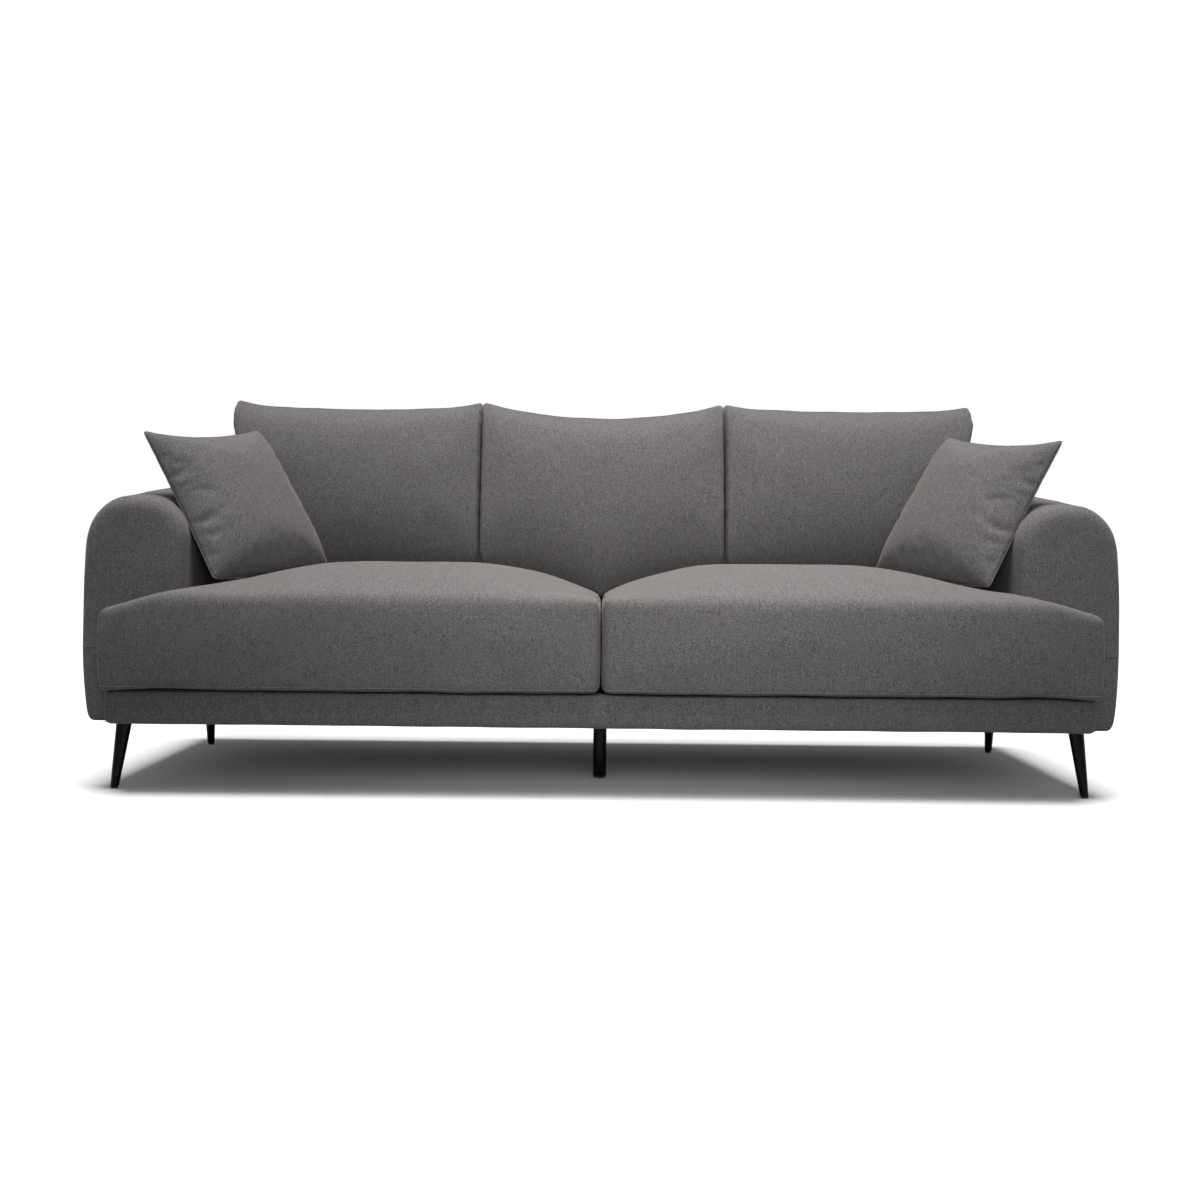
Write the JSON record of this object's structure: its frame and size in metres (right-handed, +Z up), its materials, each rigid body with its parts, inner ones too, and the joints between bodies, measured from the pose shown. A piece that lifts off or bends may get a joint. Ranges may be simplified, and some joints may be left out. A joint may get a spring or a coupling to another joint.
{
  "type": "sofa",
  "caption": "Upholstered sofa with soft sloping arms, wide seat cushions that wrap round the arm fronts, loose back cushions, throw pillows and slim tapered legs.",
  "frame": {"origin": "on the floor under the middle of the sofa's box", "axes": "+X to the right of someone who faces the sofa, -Y towards the front where people sit down, +Z up"},
  "size_m": [2.18, 0.9, 0.88],
  "materials": {
    "upholstery_fabric": "dark warm grey fine-textured chenille weave, matt",
    "lining_fabric": "black non-woven lining and webbing, matt",
    "frame_wood": "raw sawn pine",
    "black_leg_wood": "black satin lacquer on turned wood",
    "steel": "zinc-plated steel",
    "glide_plastic": "black moulded polyethylene"
  },
  "bodies": {
    "base": {"front_left_leg": "black_leg_wood", "front_left_leg_glide": "glide_plastic", "front_left_leg_plate": "steel", "front_left_leg_bolt": "steel", "front_right_leg": "black_leg_wood", "front_right_leg_glide": "glide_plastic", "front_right_leg_plate": "steel", "front_right_leg_bolt": "steel", "rear_left_leg": "black_leg_wood", "rear_left_leg_glide": "glide_plastic", "rear_left_leg_plate": "steel", "rear_left_leg_bolt": "steel", "rear_right_leg": "black_leg_wood", "rear_right_leg_glide": "glide_plastic", "rear_right_leg_plate": "steel", "rear_right_leg_bolt": "steel", "centre_leg": "black_leg_wood", "centre_leg_glide": "glide_plastic", "centre_leg_plate": "steel", "centre_leg_bolt": "steel", "front_border": "upholstery_fabric", "back_upholstery": "upholstery_fabric", "front_rail": "frame_wood", "rear_rail": "frame_wood", "centre_beam": "frame_wood", "back_post_centre": "frame_wood", "back_top_rail": "frame_wood", "back_lower_rail": "frame_wood", "seat_deck_pad": "lining_fabric", "dust_cover": "lining_fabric", "back_webbing_1": "lining_fabric", "back_webbing_2": "lining_fabric", "back_webbing_3": "lining_fabric", "side_rail_left": "frame_wood", "arm_base_rail_left": "frame_wood", "arm_top_rail_left": "frame_wood", "arm_front_post_left": "frame_wood", "arm_rear_post_left": "frame_wood", "back_post_left": "frame_wood", "arm_upholstery_left": "upholstery_fabric", "seat_spring_1_left": "steel", "seat_spring_2_left": "steel", "seat_spring_3_left": "steel", "side_rail_right": "frame_wood", "arm_base_rail_right": "frame_wood", "arm_top_rail_right": "frame_wood", "arm_front_post_right": "frame_wood", "arm_rear_post_right": "frame_wood", "back_post_right": "frame_wood", "arm_upholstery_right": "upholstery_fabric", "seat_spring_1_right": "steel", "seat_spring_2_right": "steel", "seat_spring_3_right": "steel"},
    "seat_cushion_left": {"seat_cushion_left": "upholstery_fabric"},
    "seat_cushion_right": {"seat_cushion_right": "upholstery_fabric"},
    "back_cushion_left": {"back_cushion_left": "upholstery_fabric"},
    "back_cushion_centre": {"back_cushion_centre": "upholstery_fabric"},
    "back_cushion_right": {"back_cushion_right": "upholstery_fabric"},
    "throw_pillow_left": {"throw_pillow_left": "upholstery_fabric"},
    "throw_pillow_right": {"throw_pillow_right": "upholstery_fabric"}
  },
  "joints": [
    {"name": "seat_cushion_left_slide", "type": "slide", "parent": "base", "child": "seat_cushion_left", "axis": [0, -1, 0], "range_m": [0, 0.3]},
    {"name": "seat_cushion_right_slide", "type": "slide", "parent": "base", "child": "seat_cushion_right", "axis": [0, -1, 0], "range_m": [0, 0.3]},
    {"name": "back_cushion_left_lift", "type": "slide", "parent": "base", "child": "back_cushion_left", "axis": [0, 0.2079, 0.9781], "range_m": [0, 0.25]},
    {"name": "back_cushion_centre_lift", "type": "slide", "parent": "base", "child": "back_cushion_centre", "axis": [0, 0.2079, 0.9781], "range_m": [0, 0.25]},
    {"name": "back_cushion_right_lift", "type": "slide", "parent": "base", "child": "back_cushion_right", "axis": [0, 0.2079, 0.9781], "range_m": [0, 0.25]},
    {"name": "throw_pillow_left_lift", "type": "slide", "parent": "base", "child": "throw_pillow_left", "axis": [0.7537, -0.4352, 0.4924], "range_m": [0, 0.3]},
    {"name": "throw_pillow_right_lift", "type": "slide", "parent": "base", "child": "throw_pillow_right", "axis": [-0.7537, -0.4352, 0.4924], "range_m": [0, 0.3]}
  ]
}
